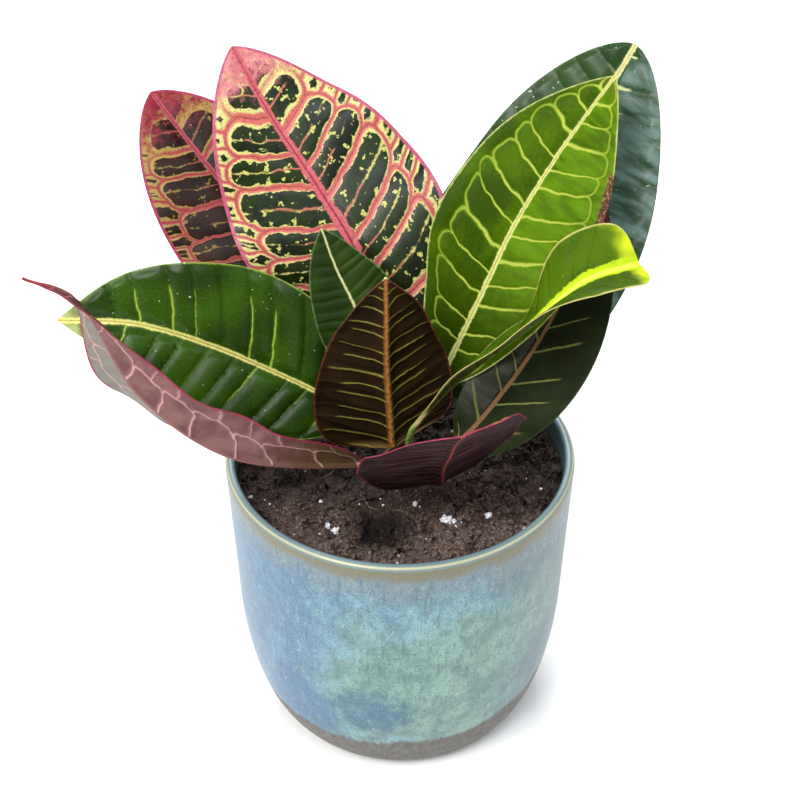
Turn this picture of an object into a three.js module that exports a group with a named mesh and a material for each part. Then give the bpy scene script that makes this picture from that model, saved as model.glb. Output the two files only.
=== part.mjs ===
// A potted croton: a glazed ceramic pot, filled with soil, and a young plant of eleven leaves.
// Millimetres, +Z up. The origin is the centre of the pot's flat base, and -Y is the front.
import * as THREE from "three";

// ---------------------------------------------------------------- driving dimensions

// Pot: straight tapered wall over a rounded bottom.
const POT_HEIGHT = 130;
const RIM_RADIUS = 70;
const SHOULDER_HEIGHT = 69; // where the straight wall turns into the rounded bottom
const SHOULDER_RADIUS = 68.5;
const BASE_RADIUS = 48; // the flat face that the pot stands on
const WALL = 4;
const FLOOR = 6;
const POT_SEGMENTS = 60; // also round the soil, so that the two stay evenly apart
const BOTTOM_STEPS = 7; // steps round the bottom's curve
const LIP_STEPS = 4; // steps over the rounded lip

// Soil: its surface lies below the lip and is lumpy, with a plain hole for the stem.
const GAP = 0.3; // clearance between pieces that touch
const SOIL_LEVEL = 120;
const SOIL_RINGS = 11;
const MOUND = { height: 3.5, radius: 26 }; // soil heaped against the stem
const HOLLOW = { x: -7, y: -38, depth: 5, radius: 13 };
const LUMP_HEIGHT = 0.8;

// Stem: woody, upright, and tapered to a bud that the leaves hide.
const STEM_FOOT = 96;
const STEM_TOP = 170;
const STEM_RADIUS = 4;
const BUD_RADIUS = 1.6;
const STEM_SEGMENTS = 12;
const STEM_STEPS = 8;

// Leaves: thin blades on round petioles.
const BLADE = 0.8; // blade thickness
const PETIOLE_RADIUS = 1.6;
const FOOT_SHARE = 0.1; // share of the leaf's length over which the foot turns square to the stem
const KEEL = 1.5; // how far the midrib stands out under the blade, at its base
const KEEL_RADIUS = 1.8;
const KEEL_FADE = 0.8; // share of the keel that is gone at the tip
const KEEL_ABOVE = 0.2; // share of the keel that stands out of the upper face
const TIP_HALF = 0.5; // half width at the blunt end of the tip
const BLADE_STATIONS = 15;
const PETIOLE_STATIONS = 3;
const SIDE_CELLS = 3; // cells between the midrib and a margin
const LEAST_CURL = 1e-6; // stands for no curl where a formula divides by it

// Each leaf starts on the stem at a height and a compass angle (0 is +X, 90 is +Y), and its
// midrib then runs through five points: blade base, three quarter points and tip.
//   half, widest, taper   half widths [left, right], where along the blade they fall, tip fineness
//   face                  where the upper face looks, at even steps from the blade base to the tip
//   fold                  how far each half is folded up, in degrees, [left, right] at even steps
//   curl                  how much more (or less) it has risen at the margin, [left, right]
//   wave                  margin wave: height, waves per blade, phase left, phase right
const LEAVES = [
  {
    name: "leaf_01", colour: "#3c4a16", height: 150, angle: 120,
    midrib: [[-8, 14, 171], [-16, 28, 202], [-32, 43, 225], [-49, 56, 247], [-64, 68, 271]],
    half: [40, 40], widest: 0.35, taper: 0.75, face: [[-0.15, -0.75, 0.6], [0.2, -0.7, 0.65]],
    fold: [[-3, 5], [10, 10]], curl: [-10, -10], wave: [1.5, 3, 0, 0.4],
  },
  {
    name: "leaf_02", colour: "#4a2c26", height: 146, angle: 145,
    midrib: [[-12, 18, 158], [-34, 36, 180], [-55, 52, 200], [-78, 69, 221], [-100, 86, 244]],
    half: [34, 33], widest: 0.5, taper: 0.7, face: [[-0.1, -0.75, 0.65], [0.2, -0.7, 0.65]],
    fold: [[-5, 10], [5, 10]], curl: [-10, -10], wave: [1.5, 3, 0, 0.4],
  },
  {
    name: "leaf_03", colour: "#24541a", height: 141, angle: 180,
    midrib: [[-16, 1, 147], [-44, 4, 162], [-73, 6, 176], [-101, 6, 186], [-130, 4, 189]],
    half: [28, 35], widest: 0.4, taper: 1.0, face: [[0, -0.88, 0.47], [0, -0.88, 0.47]],
    fold: [[10, 10], [10, 10]], curl: [0, 0], wave: [1.5, 3, 0, 0.4],
  },
  {
    name: "leaf_04", colour: "#8a5560", height: 130, angle: 215,
    midrib: [[-14, -14, 133], [-61, -33, 152], [-92, -40, 186], [-109, -36, 222], [-132, -22, 224]],
    half: [20, 19], widest: 0.3, taper: 2.0,
    face: [[0, 0.6, 0.8], [0, 0.6, 0.8], [0, 0.7, 0.7], [-0.2, 0.85, 0.45], [0.3, -0.5, 0.8]],
    fold: [[38, 27], [38, 27], [15, 10], [-60, 15], [10, 10]], curl: [0, 0], wave: [1.5, 4, 0, 0.4],
  },
  {
    name: "leaf_05", colour: "#1d3a18", height: 163, angle: 150,
    midrib: [[-7, 1, 168], [-13, 3, 182], [-18, 6, 196], [-24, 9, 209], [-29, 12, 224]],
    half: [17, 17], widest: 0.4, taper: 0.8, face: [[0.2, -0.85, 0.5], [0.2, -0.85, 0.5]],
    fold: [[10, 10], [10, 10]], curl: [0, 0], wave: [0.6, 3, 0, 0.4],
  },
  {
    name: "leaf_06", colour: "#2a1c10", height: 138, angle: 250,
    midrib: [[-3, -10, 139], [-4, -13, 158], [-5, -16, 182], [-5, -20, 206], [-5, -25, 226]],
    half: [28, 29], widest: 0.25, taper: 0.95, face: [[0, 0.9, 0.4], [0, 0.9, 0.4]],
    fold: [[30, 0], [30, 0]], curl: [0, 0], wave: [1, 3, 0, 0.4],
  },
  {
    name: "leaf_07", colour: "#5f9410", height: 147, angle: 50,
    midrib: [[14, 8, 155], [30, 15, 190], [43, 25, 217], [60, 35, 244], [79, 42, 271]],
    half: [29, 33], widest: 0.5, taper: 0.9, face: [[-0.2, -0.8, 0.5], [-0.3, -0.7, 0.6]],
    fold: [[20, 10], [5, 10]], curl: [0, 0], wave: [1.5, 3, 0, 0.4],
  },
  {
    name: "leaf_08", colour: "#6a9a10", height: 131, angle: 320,
    midrib: [[6, -17, 155], [20, -20, 177], [44, -20, 200], [66, -14, 217], [86, -8, 221]],
    half: [19.5, 18], widest: 0.82, taper: 0.25,
    face: [[-0.58, 0.45, 0.6], [-0.58, 0.45, 0.6], [-0.58, 0.4, 0.65], [-0.42, -0.1, 0.85], [-0.2, -0.4, 1]],
    fold: [[12, 10], [12, 10], [8, 12], [25, 20], [30, 25]], curl: [0, 0], wave: [1, 3, 0, 0.4],
  },
  {
    name: "leaf_09", colour: "#2a4a35", height: 141, angle: 75,
    midrib: [[9, 17, 150], [32, 32, 175], [53, 48, 204], [71, 61, 237], [90, 70, 271]],
    half: [38, 45], widest: 0.44, taper: 0.62, face: [[-0.1, -0.8, 0.6], [-0.1, -0.7, 0.7]],
    fold: [[0, 10], [0, 10]], curl: [0, 0], wave: [1.5, 3, 0, 0.4],
  },
  {
    name: "leaf_10", colour: "#20281a", height: 130, angle: 350,
    midrib: [[22, -7, 138], [41, -1, 160], [57, 10, 182], [69, 23, 204], [78, 34, 226]],
    half: [17, 24], widest: 0.38, taper: 1.0, face: [[-0.2, -0.8, 0.6], [-0.2, -0.8, 0.6]],
    fold: [[-3, 11], [-3, 11]], curl: [0, 0], wave: [1, 3, 0, 0.4],
  },
  {
    name: "leaf_11", colour: "#4a2a36", height: 126, angle: 310,
    midrib: [[15, -18, 127], [16, -34, 148], [18, -48, 166], [19, -60, 180], [21, -72, 193]],
    half: [31, 34], widest: 0.45, taper: 0.7, face: [[-0.2, 0.75, 0.6], [-0.2, 0.75, 0.6]],
    fold: [[14, 0], [14, 5]], curl: [0, 0], wave: [1, 3, 0, 0.4],
  },
];

// ---------------------------------------------------------------- helpers

const radians = THREE.MathUtils.degToRad;
const mix = THREE.MathUtils.lerp;
const clamp = THREE.MathUtils.clamp;

function meshNode(name, geometry, colour, roughness) {
  const material = new THREE.MeshStandardMaterial({ color: colour, roughness, metalness: 0 });
  const mesh = new THREE.Mesh(geometry, material);
  mesh.name = name;
  return mesh;
}

function indexedGeometry(points, triangles) {
  const geometry = new THREE.BufferGeometry();
  geometry.setFromPoints(points);
  geometry.setIndex(triangles);
  return geometry;
}

// ---------------------------------------------------------------- pot

// The vessel's outline from its floor up to the shoulder, moved in by a distance.
function bottomOutline(inset, floor) {
  const points = [];
  for (let step = 0; step <= BOTTOM_STEPS; step += 1) {
    const angle = (step / BOTTOM_STEPS) * (Math.PI / 2);
    const radius = BASE_RADIUS - inset + (SHOULDER_RADIUS - BASE_RADIUS) * Math.sin(angle);
    const height = SHOULDER_HEIGHT - (SHOULDER_HEIGHT - floor) * Math.cos(angle);
    points.push(new THREE.Vector2(radius, height));
  }
  return points;
}

function wallRadius(height) {
  const share = (height - SHOULDER_HEIGHT) / (POT_HEIGHT - SHOULDER_HEIGHT);
  return mix(SHOULDER_RADIUS, RIM_RADIUS, share);
}

function lipOutline() {
  const points = [];
  const centre = new THREE.Vector2(RIM_RADIUS - WALL / 2, POT_HEIGHT - WALL / 2);
  for (let step = 0; step <= LIP_STEPS; step += 1) {
    const angle = (step / LIP_STEPS) * Math.PI;
    const offset = new THREE.Vector2(Math.cos(angle), Math.sin(angle)).multiplyScalar(WALL / 2);
    points.push(centre.clone().add(offset));
  }
  return points;
}

function makePot() {
  const profile = [
    new THREE.Vector2(0, 0),
    ...bottomOutline(0, 0),
    ...lipOutline(),
    ...bottomOutline(WALL, FLOOR).reverse(),
    new THREE.Vector2(0, FLOOR),
  ];
  const geometry = new THREE.LatheGeometry(profile, POT_SEGMENTS);
  geometry.rotateX(Math.PI / 2);
  return meshNode("pot", geometry, "#7fa3ab", 0.35);
}

// ---------------------------------------------------------------- soil

function bump(x, y, centre, depth) {
  const distance = Math.hypot(x - centre.x, y - centre.y) / centre.radius;
  return depth * Math.exp(-distance * distance);
}

function soilHeight(x, y) {
  const mound = bump(x, y, { x: 0, y: 0, radius: MOUND.radius }, MOUND.height);
  const hollow = bump(x, y, HOLLOW, HOLLOW.depth);
  const broad = Math.sin(0.31 * x + 1.1) * Math.sin(0.27 * y + 0.4);
  const fine = 0.6 * Math.sin(0.52 * x - 0.47 * y);
  return SOIL_LEVEL + mound - hollow + LUMP_HEIGHT * (broad + fine);
}

// Rings of points from the bottom of the stem's hole, up and over the surface, and down the side.
function makeSoil() {
  const holeRadius = STEM_RADIUS + GAP;
  const surfaceRadius = wallRadius(SOIL_LEVEL) - WALL - GAP;
  const side = bottomOutline(WALL + GAP, FLOOR + GAP).reverse();
  const rings = [{ radius: holeRadius, height: STEM_FOOT - GAP }];
  for (let ring = 0; ring <= SOIL_RINGS; ring += 1) {
    rings.push({ radius: mix(holeRadius, surfaceRadius, ring / SOIL_RINGS), lumpy: true });
  }
  side.forEach((point) => rings.push({ radius: point.x, height: point.y }));

  const points = [];
  rings.forEach((ring) => {
    for (let step = 0; step < POT_SEGMENTS; step += 1) {
      const angle = (step / POT_SEGMENTS) * 2 * Math.PI;
      const x = ring.radius * Math.cos(angle);
      const y = ring.radius * Math.sin(angle);
      points.push(new THREE.Vector3(x, y, ring.lumpy ? soilHeight(x, y) : ring.height));
    }
  });
  const holeCentre = points.push(new THREE.Vector3(0, 0, STEM_FOOT - GAP)) - 1;
  const floorCentre = points.push(new THREE.Vector3(0, 0, FLOOR + GAP)) - 1;

  const triangles = [];
  const last = rings.length - 1;
  for (let step = 0; step < POT_SEGMENTS; step += 1) {
    const next = (step + 1) % POT_SEGMENTS;
    triangles.push(holeCentre, step, next);
    triangles.push(floorCentre, last * POT_SEGMENTS + next, last * POT_SEGMENTS + step);
    for (let ring = 0; ring < last; ring += 1) {
      const inner = ring * POT_SEGMENTS;
      const outer = inner + POT_SEGMENTS;
      triangles.push(inner + step, outer + step, outer + next);
      triangles.push(inner + step, outer + next, inner + next);
    }
  }
  return meshNode("soil", indexedGeometry(points, triangles), "#2c221d", 0.95);
}

// ---------------------------------------------------------------- stem

// The woody stem's radius: full in the soil, then tapered to the bud.
function stemRadius(height) {
  const taperStart = SOIL_LEVEL + MOUND.height;
  const share = clamp((height - taperStart) / (STEM_TOP - taperStart), 0, 1);
  return mix(STEM_RADIUS, BUD_RADIUS, share * share);
}

function makeStem() {
  const profile = [new THREE.Vector2(0, STEM_FOOT), new THREE.Vector2(STEM_RADIUS, STEM_FOOT)];
  for (let step = 0; step <= STEM_STEPS; step += 1) {
    const height = mix(SOIL_LEVEL, STEM_TOP - BUD_RADIUS, step / STEM_STEPS);
    profile.push(new THREE.Vector2(stemRadius(height), height));
  }
  profile.push(new THREE.Vector2(BUD_RADIUS / 2, STEM_TOP - BUD_RADIUS / 3));
  profile.push(new THREE.Vector2(0, STEM_TOP));
  const geometry = new THREE.LatheGeometry(profile, STEM_SEGMENTS);
  geometry.rotateX(Math.PI / 2);
  return meshNode("stem", geometry, "#6d5a45", 0.8);
}

// ---------------------------------------------------------------- leaves

// The midrib as a smooth curve from the petiole's foot on the stem to the tip.
function midribCurve(leaf) {
  const angle = radians(leaf.angle);
  const reach = stemRadius(leaf.height) + GAP;
  const foot = new THREE.Vector3(reach * Math.cos(angle), reach * Math.sin(angle), leaf.height);
  const points = leaf.midrib.map((point) => new THREE.Vector3(...point));
  return new THREE.CatmullRomCurve3([foot, ...points], false, "catmullrom", 0.5);
}

// The value at a place from 0 to 1 of a list that holds one at even steps.
function sample(list, place) {
  const position = clamp(place, 0, 1) * (list.length - 1);
  const index = Math.min(Math.floor(position), list.length - 2);
  return list[index].map((value, item) => mix(value, list[index + 1][item], position - index));
}

// Half width at a place along the leaf: 0 is the blade base, 1 the tip, and less than 0 the petiole.
function halfWidth(leaf, along, side) {
  if (along <= 0) {
    return PETIOLE_RADIUS;
  }
  const rise = (leaf.taper * leaf.widest) / (1 - leaf.widest);
  const shape = (place) => place ** rise * (1 - place) ** leaf.taper;
  const width = (leaf.half[side] * shape(along)) / shape(leaf.widest);
  return Math.max(width, PETIOLE_RADIUS * (1 - 2 * along), TIP_HALF);
}

// The frame across the midrib: along the leaf, to its right, and out of its upper face.
function leafFrame(leaf, curve, along) {
  const segments = leaf.midrib.length;
  const share = clamp((1 + along * (segments - 1)) / segments, 0, 1);
  const face = new THREE.Vector3(...sample(leaf.face, along));
  const outward = new THREE.Vector3(Math.cos(radians(leaf.angle)), Math.sin(radians(leaf.angle)), 0);
  const turned = clamp(1 - share / FOOT_SHARE, 0, 1);
  const forward = curve.getTangent(share).lerp(outward, turned).normalize();
  const right = new THREE.Vector3().crossVectors(forward, face).normalize();
  const up = new THREE.Vector3().crossVectors(right, forward);
  return { origin: curve.getPoint(share), right, up };
}

// A point of the blade's middle surface. across is -1 at the left margin and 1 at the right one.
function bladePoint(leaf, curve, along, across) {
  const frame = leafFrame(leaf, curve, along);
  const side = across < 0 ? 0 : 1;
  const place = clamp(along, 0, 1);
  const spread = Math.abs(across);
  const width = halfWidth(leaf, along, side);
  const fold = radians(sample(leaf.fold, place)[side]);
  const curl = radians(leaf.curl[side]) || LEAST_CURL;
  const out = (Math.sin(fold + curl * spread) - Math.sin(fold)) / curl;
  const lift = (Math.cos(fold) - Math.cos(fold + curl * spread)) / curl;
  const [height, count, leftPhase, rightPhase] = leaf.wave;
  const turns = count * place + (side ? rightPhase : leftPhase);
  const swell = height * spread ** 2 * Math.sin(Math.PI * place);
  const wave = swell * Math.sin(2 * Math.PI * turns);
  return frame.origin
    .addScaledVector(frame.right, Math.sign(across) * out * width)
    .addScaledVector(frame.up, lift * width + wave);
}

// Unit normal of the middle surface, from two short steps along and across.
function bladeNormal(leaf, curve, along, across) {
  const step = 0.01;
  const ahead = bladePoint(leaf, curve, Math.min(along + step, 1), across);
  const behind = bladePoint(leaf, curve, along - step, across);
  const right = bladePoint(leaf, curve, along, Math.min(across + step, 1));
  const left = bladePoint(leaf, curve, along, Math.max(across - step, -1));
  return right.sub(left).cross(ahead.sub(behind)).normalize();
}

// Places across the blade: one narrow cell each side of the midrib, then even cells to the margin.
function acrossPlaces(width) {
  const core = clamp(KEEL_RADIUS / width, 0.06, 0.45);
  const half = [];
  for (let cell = 0; cell <= SIDE_CELLS; cell += 1) {
    half.push(mix(core, 1, cell / SIDE_CELLS));
  }
  return [...half.map((place) => -place).reverse(), 0, ...half];
}

// Places along the leaf: a few on the petiole, then closer together towards both blade ends.
function alongPlaces(leaf) {
  const footPlace = -1 / (leaf.midrib.length - 1);
  const places = [];
  for (let step = 0; step < PETIOLE_STATIONS; step += 1) {
    places.push(mix(footPlace, 0, step / PETIOLE_STATIONS));
  }
  for (let step = 0; step <= BLADE_STATIONS; step += 1) {
    const share = step / BLADE_STATIONS;
    places.push(mix(share, (1 - Math.cos(Math.PI * share)) / 2, 0.5));
  }
  return places;
}

function leafGeometry(leaf) {
  const curve = midribCurve(leaf);
  const stations = alongPlaces(leaf);
  const topLayer = [];
  const bottomLayer = [];
  stations.forEach((along) => {
    const width = Math.min(halfWidth(leaf, along, 0), halfWidth(leaf, along, 1));
    acrossPlaces(width).forEach((across) => {
      const centre = bladePoint(leaf, curve, along, across);
      const petiole = along < 0;
      const normal = petiole ? leafFrame(leaf, curve, along).up : bladeNormal(leaf, curve, along, across);
      const distance = Math.min((Math.abs(across) * width) / KEEL_RADIUS, 1);
      const keel = KEEL * (1 - distance ** 2) * (1 - KEEL_FADE * clamp(along, 0, 1));
      const topShare = petiole ? 0.5 : KEEL_ABOVE;
      topLayer.push(centre.clone().addScaledVector(normal, BLADE / 2 + keel * topShare));
      bottomLayer.push(centre.clone().addScaledVector(normal, -BLADE / 2 - keel * (1 - topShare)));
    });
  });

  const columns = 2 * SIDE_CELLS + 3;
  const rows = stations.length;
  const top = (row, column) => row * columns + column;
  const bottom = (row, column) => rows * columns + top(row, column);
  const triangles = [];
  const quad = (a, b, c, d) => triangles.push(a, b, c, a, c, d);
  for (let row = 0; row < rows - 1; row += 1) {
    for (let column = 0; column < columns - 1; column += 1) {
      quad(top(row, column), top(row, column + 1), top(row + 1, column + 1), top(row + 1, column));
      triangles.push(bottom(row, column), bottom(row + 1, column + 1), bottom(row, column + 1));
      triangles.push(bottom(row, column), bottom(row + 1, column), bottom(row + 1, column + 1));
    }
    const edge = columns - 1;
    quad(top(row, 0), top(row + 1, 0), bottom(row + 1, 0), bottom(row, 0));
    quad(top(row, edge), bottom(row, edge), bottom(row + 1, edge), top(row + 1, edge));
  }
  for (let column = 0; column < columns - 1; column += 1) {
    const end = rows - 1;
    quad(top(0, column), bottom(0, column), bottom(0, column + 1), top(0, column + 1));
    quad(top(end, column), top(end, column + 1), bottom(end, column + 1), bottom(end, column));
  }
  return indexedGeometry([...topLayer, ...bottomLayer], triangles);
}

function makeLeaf(leaf) {
  return meshNode(leaf.name, leafGeometry(leaf), leaf.colour, 0.4);
}

// ---------------------------------------------------------------- assembly

const croton = new THREE.Group();
croton.add(makePot());
croton.add(makeSoil());
croton.add(makeStem());
LEAVES.forEach((leaf) => croton.add(makeLeaf(leaf)));

export default croton;
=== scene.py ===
"""The looks of the potted croton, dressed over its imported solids.

Lengths are in millimetres, in the frame of the solids: the origin is the centre of the pot's
flat base, +Z is up and -Y is the front. MM turns them into Blender's metres.
"""
import math
import random
from types import SimpleNamespace

import bpy
import numpy as np
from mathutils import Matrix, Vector, noise


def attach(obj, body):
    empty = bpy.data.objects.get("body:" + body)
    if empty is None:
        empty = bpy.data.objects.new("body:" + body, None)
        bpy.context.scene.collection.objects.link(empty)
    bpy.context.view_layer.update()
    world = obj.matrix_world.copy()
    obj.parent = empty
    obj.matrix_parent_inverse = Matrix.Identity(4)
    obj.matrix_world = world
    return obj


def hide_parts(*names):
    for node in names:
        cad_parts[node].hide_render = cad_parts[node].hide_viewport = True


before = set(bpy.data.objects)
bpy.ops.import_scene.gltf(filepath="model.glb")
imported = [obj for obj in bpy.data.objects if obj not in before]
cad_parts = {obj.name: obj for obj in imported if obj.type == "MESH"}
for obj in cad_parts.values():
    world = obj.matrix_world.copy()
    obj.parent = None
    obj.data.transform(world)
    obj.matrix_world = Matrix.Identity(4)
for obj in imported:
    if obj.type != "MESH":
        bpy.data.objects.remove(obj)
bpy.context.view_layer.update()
MM = 0.001

# ---------------- camera and stage

CAMERA_TARGET = Vector((0, 0, 154))
CAMERA_DISTANCE = 560
CAMERA_ELEVATION = math.radians(37.1)
CAMERA_LENS = 64.35  # on a sensor 36 mm wide
FLOOR_SIDE = 9000
FLOOR_COLOUR = (0.93, 0.93, 0.925, 1)
WORLD_COLOUR = (0.93, 0.96, 1, 1)
WORLD_STRENGTH = 0.42


def add_object(name, data):
    made = bpy.data.objects.new(name, data)
    bpy.context.scene.collection.objects.link(made)
    return made


def add_camera():
    data = bpy.data.cameras.new("camera")
    data.sensor_width = 36
    data.lens = CAMERA_LENS
    data.clip_start = 0.01
    camera = add_object("camera", data)
    back = Vector((0, -math.cos(CAMERA_ELEVATION), math.sin(CAMERA_ELEVATION)))
    camera.location = (CAMERA_TARGET + back * CAMERA_DISTANCE) * MM
    camera.rotation_euler = (math.pi / 2 - CAMERA_ELEVATION, 0, 0)
    bpy.context.scene.camera = camera


def add_lamp(name, place, size, power, colour=(1, 1, 1)):
    """A square soft box at place, which looks at the plant."""
    data = bpy.data.lights.new(name, "AREA")
    data.shape = "SQUARE"
    data.size = size * MM
    data.energy = power
    data.color = colour
    lamp = add_object(name, data)
    lamp.location = Vector(place) * MM
    aim = CAMERA_TARGET - Vector(place)
    lamp.rotation_mode = "QUATERNION"
    lamp.rotation_quaternion = aim.to_track_quat("-Z", "Y")


def add_stage():
    side = FLOOR_SIDE * MM / 2
    mesh = bpy.data.meshes.new("floor")
    corners = [(-side, -side, 0), (side, -side, 0), (side, side, 0), (-side, side, 0)]
    mesh.from_pydata(corners, [], [(0, 1, 2, 3)])
    floor = add_object("floor", mesh)
    paint = Paint("floor")
    paint.colour = FLOOR_COLOUR
    mesh.materials.append(paint.finish(0.9))
    world = bpy.data.worlds.new("studio")
    world.use_nodes = True
    background = world.node_tree.nodes["Background"]
    background.inputs["Color"].default_value = WORLD_COLOUR
    background.inputs["Strength"].default_value = WORLD_STRENGTH
    bpy.context.scene.world = world
    bpy.context.scene.view_settings.view_transform = "Standard"
    add_lamp("key", (-620, -800, 1150), 650, 21, (1, 0.985, 0.96))
    add_lamp("fill", (900, -300, 900), 800, 4, (0.95, 0.98, 1))
    add_lamp("rim", (-150, 900, 1000), 700, 15)
    add_lamp("sky", (60, -620, 1330), 420, 5, (0.82, 0.92, 1))


# ---------------- fields

# The same formulas shape the leaves as numbers and paint them as shader nodes. A Field is a
# socket of a material, and arithmetic on it adds nodes.


def arithmetic(operation, swapped=False):
    def method(self, other):
        return calc(operation, other, self) if swapped else calc(operation, self, other)

    return method


class Field:
    def __init__(self, tree, socket):
        self.tree = tree
        self.socket = socket

    __add__ = __radd__ = arithmetic("ADD")
    __sub__ = arithmetic("SUBTRACT")
    __rsub__ = arithmetic("SUBTRACT", swapped=True)
    __mul__ = __rmul__ = arithmetic("MULTIPLY")
    __truediv__ = arithmetic("DIVIDE")


# What the same operations do to plain numbers.
PLAIN = {
    "MINIMUM": np.minimum,
    "MAXIMUM": np.maximum,
    "ABSOLUTE": np.abs,
    "SIGN": np.sign,
    "SINE": np.sin,
    "SQRT": np.sqrt,
    "FRACT": lambda value: value - np.floor(value),
}


def connect(tree, value, socket):
    if isinstance(value, Field):
        tree.links.new(value.socket, socket)
    else:
        socket.default_value = value


def calc(operation, *values):
    fields = [value for value in values if isinstance(value, Field)]
    if not fields:
        return PLAIN[operation](*values)
    tree = fields[0].tree
    node = tree.nodes.new("ShaderNodeMath")
    node.operation = operation
    for value, socket in zip(values, node.inputs):
        connect(tree, value, socket)
    return Field(tree, node.outputs[0])


def smooth(low, high, value):
    """0 up to low, 1 from high, and an eased ramp between them."""
    if not isinstance(value, Field):
        share = np.clip((value - low) / (high - low), 0, 1)
        return share * share * (3 - 2 * share)
    node = value.tree.nodes.new("ShaderNodeMapRange")
    node.interpolation_type = "SMOOTHSTEP"
    for name, given in (("Value", value), ("From Min", low), ("From Max", high)):
        connect(value.tree, given, node.inputs[name])
    return Field(value.tree, node.outputs["Result"])


def rgb(code):
    """Linear colour of a #rrggbb code."""
    parts = [int(code[place : place + 2], 16) / 255 for place in (1, 3, 5)]
    linear = [part / 12.92 if part < 0.04045 else ((part + 0.055) / 1.055) ** 2.4 for part in parts]
    return (*linear, 1)


# The sockets of a colour Mix node.
MIX_FIRST, MIX_SECOND, MIX_RESULT = 6, 7, 2


class Paint:
    """One procedural material. Its colour is laid down in coats."""

    def __init__(self, name):
        self.material = bpy.data.materials.new(name)
        self.material.use_nodes = True
        self.tree = self.material.node_tree
        self.surface = self.tree.nodes["Principled BSDF"]

    def node(self, kind, output, **inputs):
        node = self.tree.nodes.new(kind)
        for name, value in inputs.items():
            connect(self.tree, value, node.inputs[name])
        return Field(self.tree, node.outputs[output])

    def attribute(self, name):
        node = self.tree.nodes.new("ShaderNodeAttribute")
        node.attribute_name = name
        return self.split(node.outputs["Vector"])

    def position(self):
        """The place on the piece, in millimetres."""
        node = self.tree.nodes.new("ShaderNodeTexCoord")
        return [axis * (1 / MM) for axis in self.split(node.outputs["Object"])]

    def split(self, vector):
        node = self.tree.nodes.new("ShaderNodeSeparateXYZ")
        self.tree.links.new(vector, node.inputs[0])
        return [Field(self.tree, output) for output in node.outputs]

    def noise(self, place, size, detail=2.0, rough=0.5):
        """Cloudy noise about 0.5, with blots of about that size."""
        vector = self.node("ShaderNodeCombineXYZ", "Vector", X=place[0], Y=place[1], Z=place[2])
        return self.node(
            "ShaderNodeTexNoise", "Fac", Vector=vector, Scale=1 / size, Detail=detail, Roughness=rough
        )

    def mix(self, share, first, second):
        node = self.tree.nodes.new("ShaderNodeMix")
        node.data_type = "RGBA"
        connect(self.tree, share, node.inputs["Factor"])
        for value, place in ((first, MIX_FIRST), (second, MIX_SECOND)):
            connect(self.tree, rgb(value) if isinstance(value, str) else value, node.inputs[place])
        return Field(self.tree, node.outputs[MIX_RESULT])

    def ground(self, share, first, second):
        """Starts the colour as a mix of two."""
        self.colour = self.mix(share, first, second)

    def coat(self, share, tint):
        """Lays a tint over the colour, where share is above 0."""
        self.colour = self.mix(share, self.colour, tint)

    def finish(self, roughness, height=None, **constants):
        """The material in its colour. height is a relief in millimetres."""
        connect(self.tree, self.colour, self.surface.inputs["Base Color"])
        connect(self.tree, roughness, self.surface.inputs["Roughness"])
        for name, value in constants.items():
            self.surface.inputs[name.replace("_", " ")].default_value = value
        if height is not None:
            bump = self.tree.nodes.new("ShaderNodeBump")
            bump.inputs["Distance"].default_value = MM
            connect(self.tree, height, bump.inputs["Height"])
            self.tree.links.new(bump.outputs["Normal"], self.surface.inputs["Normal"])
        return self.material


# ---------------- meshes


def add_mesh(name, points, faces, materials, face_materials=None, attributes=None, sharp=50):
    """A smooth mesh piece from points in millimetres, which rides with the root body."""
    mesh = bpy.data.meshes.new(name)
    mesh.from_pydata((np.asarray(points) * MM).tolist(), [], faces)
    for material in materials:
        mesh.materials.append(material)
    if face_materials is not None:
        mesh.polygons.foreach_set("material_index", face_materials)
    for key, values in (attributes or {}).items():
        layer = mesh.attributes.new(key, "FLOAT_VECTOR", "POINT")
        layer.data.foreach_set("vector", np.asarray(values, dtype=np.float32).ravel())
    mesh.polygons.foreach_set("use_smooth", [True] * len(mesh.polygons))
    mesh.set_sharp_from_angle(angle=math.radians(sharp))
    mesh.update()
    piece = add_object(name, mesh)
    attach(piece, "root")
    return piece


def ring_faces(rings, segments):
    """Faces between rings of points. Points 0 and 1 close the first ring and the last one."""
    faces = []
    last = 2 + (rings - 1) * segments
    for step in range(segments):
        following = (step + 1) % segments
        faces.append((0, 2 + following, 2 + step))
        faces.append((1, last + step, last + following))
        for low in range(2, last, segments):
            high = low + segments
            faces.append((low + step, low + following, high + following, high + step))
    return faces


def lathe_mesh(outline, segments):
    """Points and faces of a closed outline [(radius, height)] that starts and ends on the axis."""
    rings = outline[1:-1]
    angles = np.linspace(0, math.tau, segments, endpoint=False)
    points = [(0, 0, outline[0][1]), (0, 0, outline[-1][1])]
    for radius, height in rings:
        points.extend((radius * math.cos(angle), radius * math.sin(angle), height) for angle in angles)
    return points, ring_faces(len(rings), segments)


# ---------------- pot

POT_HEIGHT = 130
RIM_RADIUS = 70
SHOULDER_HEIGHT = 69
SHOULDER_RADIUS = 68.5
BASE_RADIUS = 48
WALL = 4
FLOOR = 6
GAP = 0.3
GLAZE_LINE = 25  # mean height where the glaze stops above the foot


def bottom_outline(inset, floor, steps):
    angles = [step / steps * math.pi / 2 for step in range(steps + 1)]
    return [
        (
            BASE_RADIUS - inset + (SHOULDER_RADIUS - BASE_RADIUS) * math.sin(angle),
            SHOULDER_HEIGHT - (SHOULDER_HEIGHT - floor) * math.cos(angle),
        )
        for angle in angles
    ]


def wall_radius(height):
    share = (height - SHOULDER_HEIGHT) / (POT_HEIGHT - SHOULDER_HEIGHT)
    return SHOULDER_RADIUS + (RIM_RADIUS - SHOULDER_RADIUS) * share


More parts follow.
